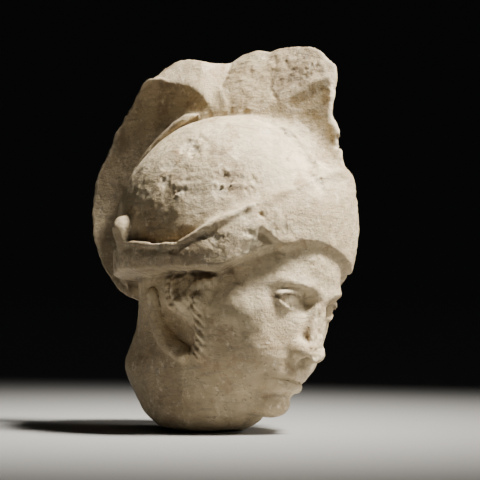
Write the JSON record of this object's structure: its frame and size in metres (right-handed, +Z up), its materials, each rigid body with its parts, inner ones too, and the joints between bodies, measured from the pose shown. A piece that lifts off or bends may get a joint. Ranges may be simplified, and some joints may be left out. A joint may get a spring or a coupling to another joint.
{
  "type": "helmeted marble head",
  "caption": "Broken marble statuette head of a young warrior in a crested helmet with a peaked visor, bowed and leaning, standing on the flat break of its thick neck.",
  "frame": {"origin": "centre of the flat break under the neck, on which the head rests", "axes": "+Z up, the face looks towards -Y, bowed forward by 16 degrees and leaning by 10 degrees to its own left, which is +X"},
  "size_m": [0.0888, 0.1234, 0.1584],
  "materials": {
    "marble": "worn ivory marble with brown-grey patina, pits and chips"
  },
  "bodies": {
    "root": {"helmeted_head": "marble"}
  },
  "joints": []
}
